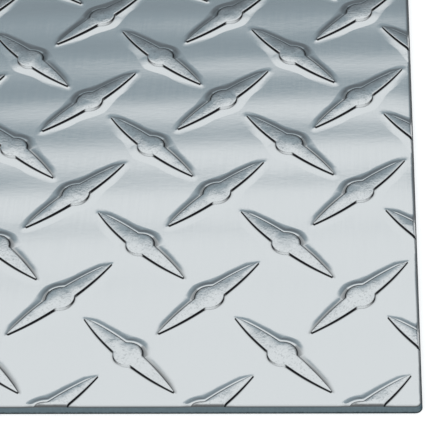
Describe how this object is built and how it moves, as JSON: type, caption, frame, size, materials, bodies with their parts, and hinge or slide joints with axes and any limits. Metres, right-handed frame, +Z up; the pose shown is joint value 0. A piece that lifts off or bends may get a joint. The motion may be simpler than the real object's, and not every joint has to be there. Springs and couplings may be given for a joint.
{
  "type": "tread plate",
  "caption": "Flat aluminium sheet with a raised pattern of slanting diamond lugs on its upper face, used as non-slip flooring, steps and guards.",
  "frame": {"origin": "middle of the flat underside", "axes": "+Z up out of the patterned face, +X to the right and +Y away from the viewer along the sheet's edges"},
  "size_m": [0.1524, 0.1524, 0.003],
  "materials": {
    "aluminium": "bright mill finish with polished lugs"
  },
  "bodies": {
    "root": {"tread_plate": "aluminium"}
  },
  "joints": []
}
